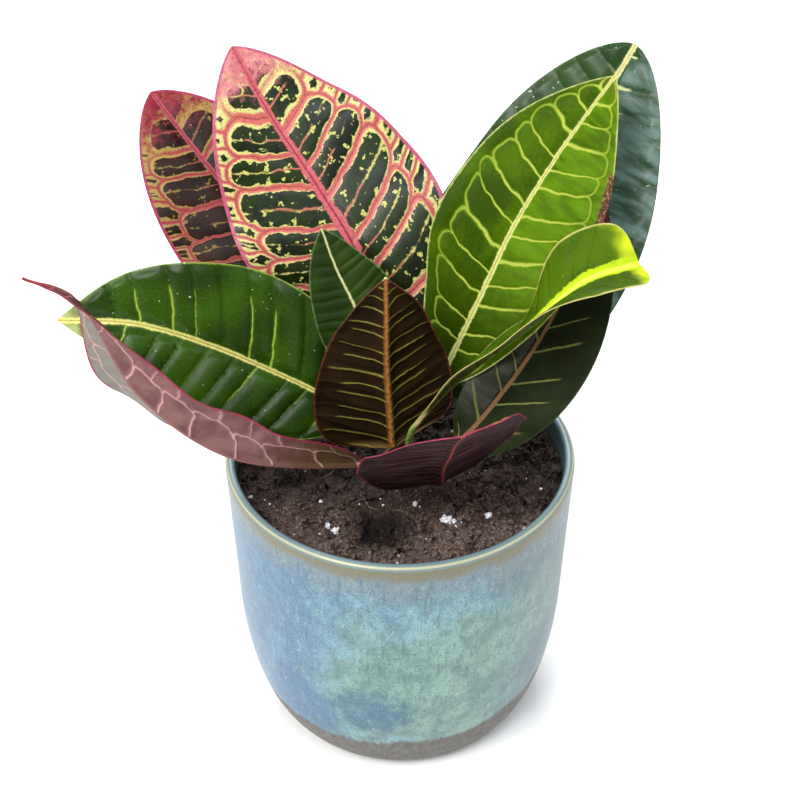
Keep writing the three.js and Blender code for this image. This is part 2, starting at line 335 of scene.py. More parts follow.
def lip_outline(steps=12):
    centre = RIM_RADIUS - WALL / 2
    angles = [step / steps * math.pi for step in range(steps + 1)]
    return [
        (centre + WALL / 2 * math.cos(angle), POT_HEIGHT - WALL / 2 + WALL / 2 * math.sin(angle))
        for angle in angles
    ]


def wall_outline(inset, heights):
    return [(wall_radius(height) - inset, height) for height in heights]


def glaze_paint():
    paint = Paint("glaze")
    x, y, z = paint.position()
    radius = calc("SQRT", x * x + y * y)
    place = (x, y, z)
    drop = (x, y, z * 0.45)
    patch = paint.noise(drop, 20, detail=3) - 0.5
    cloud = paint.noise(place, 9, detail=4, rough=0.6) - 0.5
    mottle = paint.noise(drop, 2.4, detail=4, rough=0.65)
    speck = paint.noise(place, 0.75, detail=2, rough=0.6)
    run = paint.noise((x, y, z * 0.12), 1.7, detail=2)

    def blot(centre, reach, flat=1.0):
        """1 in a ragged blot about a point of the wall, 0 away from it."""
        spans = [(axis - middle) * size for axis, middle, size in zip(place, centre, (1, 1, flat))]
        apart = calc("SQRT", spans[0] * spans[0] + spans[1] * spans[1] + spans[2] * spans[2])
        return smooth(reach * 1.35, reach * 0.65, apart + (patch + cloud) * reach * 1.6)

    # The wall: blue green, with blots of green and blue. It is bluer to the left and greyer to the
    # right in the glaze's own tones, and darker towards both sides, which is painted shade.
    paint.ground(smooth(-0.16, 0.16, cloud), "#5d8295", "#7ba2a9")
    paint.coat(smooth(-12, -60, x + patch * 60) * 0.75, "#4a6c8e")
    paint.coat(smooth(30, 66, x + patch * 60) * 0.8, "#4e615b")
    green = paint.mix(smooth(-0.14, 0.14, cloud), "#6a877c", "#86a293")
    paint.coat(blot((14, -66, 56), 38, 0.85) * 0.9, green)
    paint.coat(blot((48, -48, 84), 20) * 0.6, green)
    paint.coat(blot((-9, -60, 46), 14) * 0.6, "#37597f")
    paint.coat(blot((-40, -50, 40), 16) * 0.6, "#3d648c")
    paint.coat(blot((56, -36, 50), 12) * 0.6, "#455f6c")
    paint.coat(smooth(106, 122, z + patch * 22) * 0.75, "#757e82")
    # Mottling, runs and specks.
    paint.coat(smooth(0.54, 0.72, mottle) * 0.5, "#a0b8b4")
    paint.coat(smooth(0.5, 0.32, mottle) * 0.5, "#3a5a6c")
    streaks = smooth(0.56, 0.68, run) * smooth(40, 90, z)
    paint.coat(streaks * 0.3, "#3c525c")
    dots = smooth(0.54, 0.66, speck + (mottle - 0.5) * 0.4)
    paint.coat(dots * 0.55, "#2c4658")
    # The olive band under the lip, partly the glaze's own colour and partly painted shadow under
    # the lip; the lip, with a painted highlight along its crest; and the wall's inside.
    outside = smooth(68.6, 69.2, radius)
    ragged = patch * 12 + (mottle - 0.5) * 8
    # Partly painted shadow: the olive band darkens the wall just under the lip.
    paint.coat(smooth(121.5, 126, z + ragged) * outside * 0.85, "#6f694c")
    top = smooth(127.9, 128.8, z + (mottle - 0.5) * 0.8)
    paint.coat(top * 0.85, "#6d8689")
    # Painted highlight: a thin cream line along the lip's outer crest.
    crest_highlight = smooth(0.5, 0.15, calc("ABSOLUTE", radius - 69.3)) * top
    paint.coat(crest_highlight * 0.75, "#c2b88c")
    inside = smooth(66.9, 66.2, radius) * smooth(90, 95, z)
    paint.coat(inside * 0.8, "#445a5e")
    # The bare clay of the foot.
    clay_line = GLAZE_LINE + smooth(0, 60, x) * 6 + patch * 12
    bare = smooth(clay_line + 2, clay_line - 2, z + (mottle - 0.5) * 4)
    clay = paint.mix(smooth(0.3, 0.7, mottle), "#5e5b57", "#77736d")
    paint.coat(bare, clay)
    ripple = paint.noise((x * 0.12, y * 0.12, z), 3.4, detail=1)
    height = mottle * 0.05 + ripple * 0.14 + paint.noise(place, 0.5) * bare * 0.08 - bare * 0.2
    roughness = 0.3 + mottle * 0.16 + bare * 0.42
    return paint.finish(roughness, height, Specular_IOR_Level=0.35, Coat_Weight=0.1, Coat_Roughness=0.12)


def add_pot():
    inner_heights = np.linspace(POT_HEIGHT - 4, SHOULDER_HEIGHT + 4, 6)
    outline = [(0, 0)]
    outline += bottom_outline(0, 0, 26)
    outline += wall_outline(0, np.linspace(SHOULDER_HEIGHT + 6, POT_HEIGHT - 4, 10))
    outline += lip_outline()
    outline += wall_outline(WALL, inner_heights)
    outline += bottom_outline(WALL, FLOOR, 14)[::-1]
    outline += [(0, FLOOR)]
    points, faces = lathe_mesh(outline, 192)
    pot = add_mesh("pot_body", points, faces, [glaze_paint()])
    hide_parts("pot")


# ---------------- soil

SOIL_LEVEL = 120
MOUND_HEIGHT = 3.5  # soil heaped against the stem
MOUND_RADIUS = 26
HOLLOW = (-7, -38)  # the middle of the hollow in front of the plant
HOLLOW_DEPTH = 5
HOLLOW_RADIUS = 13
LUMP_HEIGHT = 0.8
STEM_FOOT = 96
STEM_TOP = 170
STEM_RADIUS = 4
BUD_RADIUS = 1.6
SOIL_RINGS = 84
SOIL_SEGMENTS = 240
CLODS = 1900
FIBRES = 110
GRAINS = 70
LOOSE_FROM = 8  # clods, roots and grains lie between these distances from the axis
LOOSE_TO = 63
# The white grains that the photo shows largest: x, y and radius.
SEEN_GRAINS = [
    (18, -34, 2.2), (21, -36, 2.0), (-28, -35, 1.6), (-25, -36, 1.5), (34, -31, 1.6), (15, -47, 1.5),
    (-1, -49, 1.2), (0, -58, 1.3), (-33, -46, 1.1), (-48, -28, 1.0), (-46, -38, 0.9), (48, -38, 1.0),
]


def soil_level(x, y):
    """The height of the soil without its crumbs, as the solid has it."""
    mound = MOUND_HEIGHT * math.exp(-(x * x + y * y) / MOUND_RADIUS**2)
    apart = (x - HOLLOW[0]) ** 2 + (y - HOLLOW[1]) ** 2
    hollow = HOLLOW_DEPTH * math.exp(-apart / HOLLOW_RADIUS**2)
    broad = math.sin(0.31 * x + 1.1) * math.sin(0.27 * y + 0.4)
    fine = 0.6 * math.sin(0.52 * x - 0.47 * y)
    return SOIL_LEVEL + mound - hollow + LUMP_HEIGHT * (broad + fine)


def soil_height(x, y):
    """The same with lumps and crumbs, which keep off the stem."""
    place = Vector((x, y, 3.7))
    away = min(max((math.hypot(x, y) - 7) / 12, 0), 1)
    lumps = noise.fractal(place / 9, 1.0, 2.1, 3) * 2.0
    crumbs = noise.fractal(place / 2.4, 0.6, 2.1, 4) * 0.9
    return soil_level(x, y) + away * (lumps + crumbs) - 0.4


def soil_paint():
    paint = Paint("soil")
    place = paint.position()
    x, y, z = place
    broad = paint.noise(place, 10, detail=3)
    fine = paint.noise(place, 1.1, detail=5, rough=0.7)
    dust = paint.noise(place, 0.35, detail=2)
    side, ahead = x - HOLLOW[0], y - HOLLOW[1]
    from_hollow = calc("SQRT", side * side + ahead * ahead)
    dry = smooth(-18, -46, y + (broad - 0.5) * 50) * smooth(7, 18, from_hollow)
    low = smooth(SOIL_LEVEL - 0.5, SOIL_LEVEL - 3.5, z)
    paint.ground(smooth(0.35, 0.65, broad), "#1c1513", "#362924")
    paint.coat(dry * 0.8, "#68554e")
    paint.coat(smooth(0.52, 0.66, fine) * (0.25 + dry * 0.75), "#9c857a")
    paint.coat(smooth(0.48, 0.32, fine), "#15100f")
    # Painted shade in the hollow: the soil is darker where it lies low.
    paint.coat(low * 0.8, "#120e0d")
    paint.coat(smooth(0.64, 0.7, dust) * (0.25 + dry * 0.75), "#a39286")
    return paint.finish(0.92, fine * 0.9 + dust * 0.3, Specular_IOR_Level=0.25)


def grain_paint():
    paint = Paint("grain")
    place = paint.position()
    pits = paint.noise(place, 0.7, detail=3)
    paint.ground(smooth(0.3, 0.6, pits), "#9c9aa2", "#eceaec")
    return paint.finish(0.8, pits * 0.5)


def fibre_paint():
    paint = Paint("fibre")
    place = paint.position()
    paint.ground(smooth(0.35, 0.65, paint.noise(place, 12)), "#3a2b22", "#8a7462")
    return paint.finish(0.8, paint.noise(place, 0.5) * 0.2)


def add_soil_body(material):
    hole = STEM_RADIUS + GAP
    edge = wall_radius(SOIL_LEVEL) - WALL - GAP
    rings = [(hole, STEM_FOOT - GAP)]
    rings += [(hole + (edge - hole) * ring / SOIL_RINGS, None) for ring in range(SOIL_RINGS + 1)]
    rings += bottom_outline(WALL + GAP, FLOOR + GAP, 8)[::-1]
    points = [(0, 0, STEM_FOOT - GAP), (0, 0, FLOOR + GAP)]
    for radius, height in rings:
        for step in range(SOIL_SEGMENTS):
            angle = step / SOIL_SEGMENTS * math.tau
            x, y = radius * math.cos(angle), radius * math.sin(angle)
            points.append((x, y, soil_height(x, y) if height is None else height))
    faces = [(first, *reversed(rest)) for first, *rest in ring_faces(len(rings), SOIL_SEGMENTS)]
    body = add_mesh("soil_body", points, faces, [material])
    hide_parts("soil")


def ball(level):
    """Unit ball of triangles: 20 faces at level 0, and four times as many with each level."""
    golden = (1 + math.sqrt(5)) / 2
    corners = [(-1, golden, 0), (1, golden, 0), (-1, -golden, 0), (1, -golden, 0)]
    corners += [(0, -1, golden), (0, 1, golden), (0, -1, -golden), (0, 1, -golden)]
    corners += [(golden, 0, -1), (golden, 0, 1), (-golden, 0, -1), (-golden, 0, 1)]
    points = [Vector(corner).normalized() for corner in corners]
    side = (points[0] - points[1]).length * 1.01
    near = [{b for b in range(12) if b != a and (points[a] - points[b]).length < side} for a in range(12)]
    faces = [(a, b, c) for a in range(12) for b in near[a] for c in near[a] & near[b] if a < b < c]
    for _ in range(level):
        middles = {}

        def middle(a, b):
            key = (min(a, b), max(a, b))
            if key not in middles:
                middles[key] = len(points)
                points.append(((points[a] + points[b]) / 2).normalized())
            return middles[key]

        split = []
        for a, b, c in faces:
            ab, bc, ca = middle(a, b), middle(b, c), middle(c, a)
            split += [(a, ab, ca), (ab, b, bc), (ca, bc, c), (ab, bc, ca)]
        faces = split
    turned = []
    for a, b, c in faces:
        outward = (points[b] - points[a]).cross(points[c] - points[a]).dot(points[a]) > 0
        turned.append((a, b, c) if outward else (a, c, b))
    return points, turned


def soil_places(count, draw):
    """Random places on the soil, clear of the stem and the pot's wall."""
    places = []
    side = LOOSE_TO + 1
    while len(places) < count:
        x, y = draw.uniform(-side, side), draw.uniform(-side, side)
        if LOOSE_FROM < math.hypot(x, y) < LOOSE_TO:
            places.append((x, y))
    return places


def add_lumps(name, lumps, level, roughness, material, draw):
    """Rough balls (x, y, radius) pressed into the soil, as one piece."""
    shape, shape_faces = ball(level)
    points, faces = [], []
    for x, y, radius in lumps:
        first = len(points)
        centre = Vector((x, y, soil_height(x, y) + radius * 0.25))
        turn = Vector([draw.uniform(-50, 50) for _ in range(3)])
        squeeze = Vector((draw.uniform(0.7, 1.2), draw.uniform(0.7, 1.2), draw.uniform(0.55, 0.9)))
        for corner in shape:
            swell = 1 + roughness * noise.noise(corner * 1.6 + turn)
            points.append(centre + corner * squeeze * radius * swell)
        faces += [tuple(first + corner for corner in face) for face in shape_faces]
    return add_mesh(name, points, faces, [material], sharp=40)


def add_fibres(material, draw):
    sides, steps = 5, 6
    points, faces = [], []
    for x, y in soil_places(FIBRES, draw):
        length, radius = draw.uniform(3, 12), draw.uniform(0.12, 0.38)
        heading, bend = draw.uniform(0, math.tau), draw.uniform(-0.9, 0.9)
        first = len(points)
        for step in range(steps + 1):
            x += math.cos(heading) * length / steps
            y += math.sin(heading) * length / steps
            heading += bend / steps
            if math.hypot(x, y) > LOOSE_TO:
                x, y = x * 0.98, y * 0.98
            thin = radius * (1 - 0.6 * step / steps)
            base = soil_height(x, y) + radius * 0.8
            for side in range(sides):
                angle = side / sides * math.tau
                across = Vector((-math.sin(heading), math.cos(heading), 0)) * math.cos(angle)
                points.append(Vector((x, y, base)) + (across + Vector((0, 0, math.sin(angle)))) * thin)
        for step in range(steps):
            for side in range(sides):
                low = first + step * sides
                following = (side + 1) % sides
                faces.append((low + side, low + following, low + sides + following, low + sides + side))
        faces.append(tuple(first + side for side in reversed(range(sides))))
        faces.append(tuple(first + steps * sides + side for side in range(sides)))
    add_mesh("soil_fibres", points, faces, [material])


def add_soil():
    draw = random.Random(7)
    material = soil_paint()
    add_soil_body(material)
    clods = [(x, y, 0.4 + 3.0 * draw.random() ** 4) for x, y in soil_places(CLODS, draw)]
    add_lumps("soil_clods", clods, 2, 1.3, material, draw)
    grains = SEEN_GRAINS + [(x, y, 0.35 + 0.8 * draw.random() ** 3) for x, y in soil_places(GRAINS, draw)]
    add_lumps("soil_grains", grains, 2, 0.8, grain_paint(), draw)
    add_fibres(fibre_paint(), draw)


# ---------------- stem


def stem_radius(height):
    start = SOIL_LEVEL + MOUND_HEIGHT
    share = min(max((height - start) / (STEM_TOP - start), 0), 1)
    return STEM_RADIUS + (BUD_RADIUS - STEM_RADIUS) * share * share


def bark_paint():
    paint = Paint("bark")
    x, y, z = paint.position()
    rings = paint.noise((x * 0.3, y * 0.3, z), 1.6, detail=3)
    cracks = paint.noise((x, y, z * 0.25), 1.0, detail=3)
    paint.ground(smooth(0.3, 0.7, cracks), "#4a3b2b", "#8b7a60")
    green = smooth(128, 160, z)
    paint.coat(green * 0.8, "#56662f")
    return paint.finish(0.75, rings * 0.5 + cracks * 0.5)


def add_stem():
    heights = np.linspace(STEM_FOOT, STEM_TOP - BUD_RADIUS, 60)
    outline = [(0, STEM_FOOT)]
    for height in heights:
        scar = 0.05 * math.sin(height * 0.9) if height > SOIL_LEVEL else 0
        outline.append((stem_radius(height) + scar, height))
    outline += [(BUD_RADIUS * 0.8, STEM_TOP - 1), (BUD_RADIUS * 0.4, STEM_TOP - 0.3), (0, STEM_TOP)]
    points, faces = lathe_mesh(outline, 28)
    stem = add_mesh("stem_bark", points, faces, [bark_paint()])
    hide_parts("stem")


# ---------------- leaf shapes

PETIOLE_RADIUS = 1.6
FOOT_SHARE = 0.1
FOOT_PLACE = -0.25  # places run from the foot over 0, the blade base, to 1, the tip
KEEL = 1.5  # how far the midrib stands out, at the blade's base
KEEL_RADIUS = 1.8
KEEL_FADE = 0.8  # share of the keel that is gone at the tip
KEEL_ABOVE = 0.2  # share of the keel that stands out of the upper face
TIP_HALF = 0.5
BLADE_HALF = 0.3  # half of the blade's thickness at the midrib
STALK_HALF = 1.15  # half of the petiole's thickness
LEAST_CURL = 1e-6  # stands for no curl where a formula divides by it
WAVE_STARTS = (0, 0.4)  # where the waves of the left and the right margin start, in waves
BLADE_STATIONS = 120
PETIOLE_STATIONS = 16
HALF_COLUMNS = 27


def leaf(**values):
    """A leaf by the values of its solid.

    It has a foot on the stem at a height and a compass angle, a midrib through five points, half
    widths [left, right] with the place of the widest and the fineness of the tip, and then, at
    even steps along the blade, where the upper face looks and how far each half is folded up.
    curl is how much more it has risen at the margin, and wave is the height and the number of
    the margin's waves.
    """
    return SimpleNamespace(**{"fold": [(10, 10)], "curl": (0, 0), "wave": (1.5, 3), **values})


LEAVES = [
    leaf(
        name="leaf_01", slot="leaf_red", upper="red", under="red_under", height=150, angle=120,
        midrib=[(-8, 14, 171), (-16, 28, 202), (-32, 43, 225), (-49, 56, 247), (-64, 68, 271)],
        half=(40, 40), widest=0.35, taper=0.75, face=[(-0.15, -0.75, 0.6), (0.2, -0.7, 0.65)],
        fold=[(-3, 5), (10, 10)], curl=(-10, -10),
    ),
    leaf(
        name="leaf_02", slot="leaf_maroon", upper="maroon", under="red_under", height=146, angle=145,
        midrib=[(-12, 18, 158), (-34, 36, 180), (-55, 52, 200), (-78, 69, 221), (-100, 86, 244)],
        half=(34, 33), widest=0.5, taper=0.7, face=[(-0.1, -0.75, 0.65), (0.2, -0.7, 0.65)],
        fold=[(-5, 10), (5, 10)], curl=(-10, -10),
    ),
    leaf(
        name="leaf_03", slot="leaf_green", upper="green", under="green_under", height=141, angle=180,
        midrib=[(-16, 1, 147), (-44, 4, 162), (-73, 6, 176), (-101, 6, 186), (-130, 4, 189)],
        half=(28, 35), widest=0.4, taper=1.0, face=[(0, -0.88, 0.47)],
    ),
    leaf(
        name="leaf_04", slot="leaf_mauve", upper="russet", under="mauve_under", height=130, angle=215,
        midrib=[(-14, -14, 133), (-61, -33, 152), (-92, -40, 186), (-109, -36, 222), (-132, -22, 224)],
        half=(20, 19), widest=0.3, taper=2.0,
        face=[(0, 0.6, 0.8), (0, 0.6, 0.8), (0, 0.7, 0.7), (-0.2, 0.85, 0.45), (0.3, -0.5, 0.8)],
        fold=[(38, 27), (38, 27), (15, 10), (-60, 15), (10, 10)], wave=(1.5, 4),
    ),
    leaf(
        name="leaf_05", slot="leaf_green", upper="small", under="green_under", height=163, angle=150,
        midrib=[(-7, 1, 168), (-13, 3, 182), (-18, 6, 196), (-24, 9, 209), (-29, 12, 224)],
        half=(17, 17), widest=0.4, taper=0.8, face=[(0.2, -0.85, 0.5)],
        wave=(0.6, 3),
    ),
    leaf(
        name="leaf_06", slot="leaf_brown", upper="deep", under="brown_under", height=138, angle=250,
        midrib=[(-3, -10, 139), (-4, -13, 158), (-5, -16, 182), (-5, -20, 206), (-5, -25, 226)],
        half=(28, 29), widest=0.25, taper=0.95, face=[(0, 0.9, 0.4)],
        fold=[(30, 0)], wave=(1, 3),
    ),
    leaf(
        name="leaf_07", slot="leaf_lime", upper="lime", under="lime_under", height=147, angle=50,
        midrib=[(14, 8, 155), (30, 15, 190), (43, 25, 217), (60, 35, 244), (79, 42, 271)],
        half=(29, 33), widest=0.5, taper=0.9, face=[(-0.2, -0.8, 0.5), (-0.3, -0.7, 0.6)],
        fold=[(20, 10), (5, 10)],
    ),
    leaf(
        name="leaf_08", slot="leaf_lime", upper="bright", under="shaded_olive_under", height=131, angle=320,
        midrib=[(6, -17, 155), (20, -20, 177), (44, -20, 200), (66, -14, 217), (86, -8, 221)],
        half=(19.5, 18), widest=0.82, taper=0.25,
        face=[
            (-0.58, 0.45, 0.6), (-0.58, 0.45, 0.6), (-0.58, 0.4, 0.65), (-0.42, -0.1, 0.85),
            (-0.2, -0.4, 1),
        ],
        fold=[(12, 10), (12, 10), (8, 12), (25, 20), (30, 25)], wave=(1, 3),
    ),
    leaf(
        name="leaf_09", slot="leaf_deep", upper="deep", under="green_under", height=141, angle=75,
        midrib=[(9, 17, 150), (32, 32, 175), (53, 48, 204), (71, 61, 237), (90, 70, 271)],
        half=(38, 45), widest=0.44, taper=0.62, face=[(-0.1, -0.8, 0.6), (-0.1, -0.7, 0.7)],
        fold=[(0, 10)],
    ),
    leaf(
        name="leaf_10", slot="leaf_deep", upper="dark", under="green_under", height=130, angle=350,
        midrib=[(22, -7, 138), (41, -1, 160), (57, 10, 182), (69, 23, 204), (78, 34, 226)],
        half=(17, 24), widest=0.38, taper=1.0, face=[(-0.2, -0.8, 0.6)],
        fold=[(-3, 11)], wave=(1, 3),
    ),
    leaf(
        name="leaf_11", slot="leaf_purple", upper="maroon", under="purple_under", height=126, angle=310,
        midrib=[(15, -18, 127), (16, -34, 148), (18, -48, 166), (19, -60, 180), (21, -72, 193)],
        half=(31, 34), widest=0.45, taper=0.7, face=[(-0.2, 0.75, 0.6)],
        fold=[(14, 0), (14, 5)], wave=(1, 3),
    ),
]


def unit(vectors):
    return vectors / np.linalg.norm(vectors, axis=-1, keepdims=True)


def sample(values, place):
    """Values that are held at even steps from 0 to 1, at the places given."""
    values = np.asarray(values, dtype=float)
    steps = np.linspace(0, 1, len(values))
    return np.stack([np.interp(place, steps, column) for column in values.T], axis=-1)


def curve_point(points, share):
    """The smooth curve through the points, at shares from 0 to 1, as the solids have it."""
    ends = np.vstack([2 * points[0] - points[1], points, 2 * points[-1] - points[-2]])
    position = np.clip(share, 0, 1) * (len(points) - 1)
    index = np.minimum(position.astype(int), len(points) - 2)
    t = (position - index)[:, None]
    before, start, end, after = (ends[index + step] for step in range(4))
    slope_in, slope_out = (end - before) / 2, (after - start) / 2
    square = 2 * end - 2 * start
    return (
        start
        + slope_in * t
        + (1.5 * square - 2 * slope_in - slope_out) * t**2
        + (slope_in + slope_out - square) * t**3
    )


def half_width(leaf, along, side):
    rise = leaf.taper * leaf.widest / (1 - leaf.widest)
    place = np.clip(along, 0, 1)
    shape = place**rise * (1 - place) ** leaf.taper
    peak = leaf.widest ** rise * (1 - leaf.widest) ** leaf.taper
    width = np.maximum(leaf.half[side] * shape / peak, PETIOLE_RADIUS * (1 - 2 * place))
    return np.maximum(width, TIP_HALF)


def leaf_frame(leaf, along):
    angle = math.radians(leaf.angle)
    outward = np.array([math.cos(angle), math.sin(angle), 0])
    reach = stem_radius(leaf.height) + GAP
    foot = outward * reach + np.array([0, 0, leaf.height])
    points = np.vstack([foot, leaf.midrib])
    share = (1 + 4 * along) / 5
    step = 1e-4
    low, high = np.clip(share - step, 0, 1), np.clip(share + step, 0, 1)
    forward = unit(curve_point(points, high) - curve_point(points, low))
    turned = np.clip(1 - share / FOOT_SHARE, 0, 1)[:, None]
    forward = unit(forward * (1 - turned) + outward * turned)
    right = unit(np.cross(forward, sample(leaf.face, np.clip(along, 0, 1))))
    return curve_point(points, share), right, np.cross(right, forward)


def blade_surface(leaf, along, across):
    """The middle surface, with a row for each place along and a column for each place across."""
    origin, right, up = leaf_frame(leaf, along)
    place = np.clip(along, 0, 1)
    fold = np.radians(sample(leaf.fold, place))
    height, count = leaf.wave
    surface = np.empty((len(along), len(across), 3))
    for column, position in enumerate(across):
        side = 0 if position < 0 else 1
        spread = abs(position)
        width = half_width(leaf, along, side)
        curl = math.radians(leaf.curl[side]) or LEAST_CURL
        slope = fold[:, side]
        out = (np.sin(slope + curl * spread) - np.sin(slope)) / curl * width
        lift = (np.cos(slope) - np.cos(slope + curl * spread)) / curl * width
        swell = height * spread**2 * np.sin(math.pi * place)
        lift = lift + swell * np.sin(math.tau * (count * place + WAVE_STARTS[side]))
        surface[:, column] = origin + np.sign(position) * out[:, None] * right + lift[:, None] * up
    return surface, up


def vein_row(look, along, across):
    """Counts the side veins along the blade: whole numbers lie on a vein."""
    reach = calc("ABSOLUTE", across)
    row = (along - reach * look.slant - reach * reach * look.bend) / look.spacing
    row = row + calc("SIGN", across) * 0.22 + 0.1
    return row + calc("SINE", row * 2.6) * 0.11


def vein_width(look):
    """The space between two side veins, square to them."""
    return look.spacing / math.sqrt(1 + look.slant ** 2)


def from_middle(row):
    """0 halfway between two whole numbers, and 0.5 on each."""
    return calc("ABSOLUTE", calc("FRACT", row) - 0.5)


def depth_between(look, along, across):
    """How far a point lies from the middle line between two side veins."""
    return from_middle(vein_row(look, along, across)) * vein_width(look)


def rounded(x, y, half_x, half_y, corner):
    """Depth inside a box with rounded corners, less than 0 outside."""
    over_x = x - half_x + corner
    over_y = calc("ABSOLUTE", y) - half_y + corner
    past_x = calc("MAXIMUM", over_x, 0)
    past_y = calc("MAXIMUM", over_y, 0)
    outside = calc("SQRT", past_x * past_x + past_y * past_y)
    inside = calc("MINIMUM", calc("MAXIMUM", over_x, over_y), 0)
    return corner - outside - inside


def vein_distance(look, along, across, half):
    """How far a point lies from the nearest side vein, which loops into the next one."""
    reach = calc("ABSOLUTE", across)
    row = vein_row(look, along, across)
    width = vein_width(look)
    loop = half * (calc("SINE", row * 1.9) * 0.05 + look.loop)
    beside = from_middle(row) * width
    inside = rounded(beside, reach, width / 2, loop, width * look.corner)
    nearest = calc("ABSOLUTE", inside)
    rows = look.rim_rows
    if rows:
        spoke = (0.5 - from_middle(row * rows + 0.5)) * (width / rows)
        nearest = calc("MINIMUM", nearest, spoke + smooth(0, 1.5, inside) * width)
    return nearest


def shell_faces(rows, columns):
    """Faces of two layers of points and of the edge around them, and the material of each."""
    size = rows * columns
    corner = np.arange(size).reshape(rows, columns)
    a, b = corner[:-1, :-1].ravel(), corner[:-1, 1:].ravel()
    c, d = corner[1:, 1:].ravel(), corner[1:, :-1].ravel()
    upper = np.stack([a, b, c, d], axis=1)
    under = np.stack([a, d, c, b], axis=1) + size
    ring = np.concatenate([corner[0, :], corner[1:, -1], corner[-1, -2::-1], corner[-2:0:-1, 0]])
    following = np.roll(ring, -1)
    edge = np.stack([ring, ring + size, following + size, following], axis=1)
    kinds = np.repeat([0, 1, 0], [len(upper), len(under), len(edge)])
    return np.concatenate([upper, under, edge]).tolist(), kinds


def add_leaf(leaf, materials):
    """One closed blade on its petiole, from an upper layer of points and an under one."""
    look = LOOKS[leaf.upper]
    petiole = np.linspace(FOOT_PLACE, 0, PETIOLE_STATIONS, endpoint=False)
    share = np.linspace(0, 1, BLADE_STATIONS)
    along = np.concatenate([petiole, (share + (1 - np.cos(math.pi * share)) / 2) / 2])
    half = (np.linspace(0, 1, HALF_COLUMNS)) ** 1.25
    across = np.concatenate([-half[:0:-1], half])
    surface, up = blade_surface(leaf, along, across)
    normal = unit(np.cross(np.gradient(surface, axis=1), np.gradient(surface, axis=0)))
    normal[along < 0] = up[along < 0][:, None]

    place = np.clip(along, 0, 1)[:, None]
    width = np.stack([half_width(leaf, along, 0 if s < 0 else 1) for s in across], axis=1)
    length = np.linalg.norm(np.diff(surface[:, HALF_COLUMNS - 1], axis=0), axis=1)
    travelled = np.concatenate([[0], np.cumsum(length)])
    travelled -= travelled[PETIOLE_STATIONS]
    blade = np.stack(np.broadcast_arrays(travelled[:, None], width * across, width), axis=-1)
    reach = np.abs(blade[..., 1])
    depth = vein_distance(look, blade[..., 0], blade[..., 1], blade[..., 2])
    bulge = look.relief * (1 - np.exp(-depth / 1.8))
    bulge *= smooth(1, 5, reach) * smooth(0, 4, width - reach) * smooth(0, 0.06, place)
    middle = surface + normal * bulge[..., None]

    stalk = smooth(0.03, -0.02, along)[:, None]
    keel = KEEL * np.clip(1 - (reach / KEEL_RADIUS) ** 2, 0, 1) * (1 - KEEL_FADE * place)
    round_edge = np.sqrt(np.clip(1 - across**2, 0, 1))[None, :]
    thin = BLADE_HALF * (1 - 0.5 * across**4)
    pole = STALK_HALF * round_edge
    over = (thin + keel * KEEL_ABOVE) * (1 - stalk) + pole * stalk
    below = (thin + keel * (1 - KEEL_ABOVE)) * (1 - stalk) + pole * stalk
    top = middle + normal * over[..., None]
    bottom = middle - normal * below[..., None]

    faces, kinds = shell_faces(*reach.shape)
    points = np.concatenate([top.reshape(-1, 3), bottom.reshape(-1, 3)])
    fields = np.concatenate([blade.reshape(-1, 3)] * 2)
    piece = add_mesh(
        leaf.name + "_blade", points, faces, materials,
        face_materials=kinds, attributes={"blade": fields},
    )
    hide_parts(leaf.name)


# ---------------- leaf paint

# A look is one face's colours and veins. Lengths are in millimetres.
# ground: the blade's two colours, in blots of the size patch; petiole: the petiole's colour
# spacing, slant, bend: side veins along the midrib, their lean towards the tip, and its growth
# wander: how far they stray; whole: how many show, none below 0 and all above 1
# loop, corner: where they loop, as a share of the half width, and how round; rim_rows: small
# cells beyond the loops, for each vein
# thin, fade: how much fainter they get outwards, and the share of the half width where they end
# vein, core, glow: (colour, half width) of the vein, its middle line and a soft halo
# edge: (colour, reach, raggedness) of the stain beside the veins; fleck: (colour, threshold)
# spur: (colour, half width, share of the half width) of the short veins between the others
# split: (colour, half width) of the broken lines from the loops back between the veins
# rib, rib_edge: (colour, half width at base, at tip) of the midrib's core and band
# margin: (colour, width); tip, foot: (colour, share of the length where it starts, or ends)
# dry: (colour, where along the blade, half length, share of the half width, side) of a crisp
# stretch; bloom: the same for a lighter one, with its least opacity after the colour,
# which is a painted sheen on the deep and dark looks
# dust: (colour, threshold) of pale specks
# relief, sunk: how far the blade bulges between its veins, in the mesh and in the bump
# gloss, shine: weight of the coat, and specular level
# Each look gives its own ground and rib, and what it doesn't give is this.
BASE_LOOK = dict(
    patch=26, petiole="#6f8040", spacing=10, slant=0.4, bend=0.004, wander=1.6, whole=1.1,
    loop=1.4, corner=0.45, rim_rows=0, thin=0.3, fade=2.0, vein=("#9ac040", 0.4), core=None,
    glow=None, edge=None, fleck=None, spur=None, split=None, rib_edge=None,
    margin=("#7a9a40", 0.6), tip=None, foot=None, dry=None, bloom=None, dust=None,
    relief=0.6, sunk=0.25, gloss=0.15, shine=0.14, roughness=0.4,
)


def look(**changes):
    return SimpleNamespace(**{**BASE_LOOK, **changes})


def under_look(**changes):
    return look(**{"gloss": 0.0, "sunk": -0.3, "roughness": 0.55, **changes})


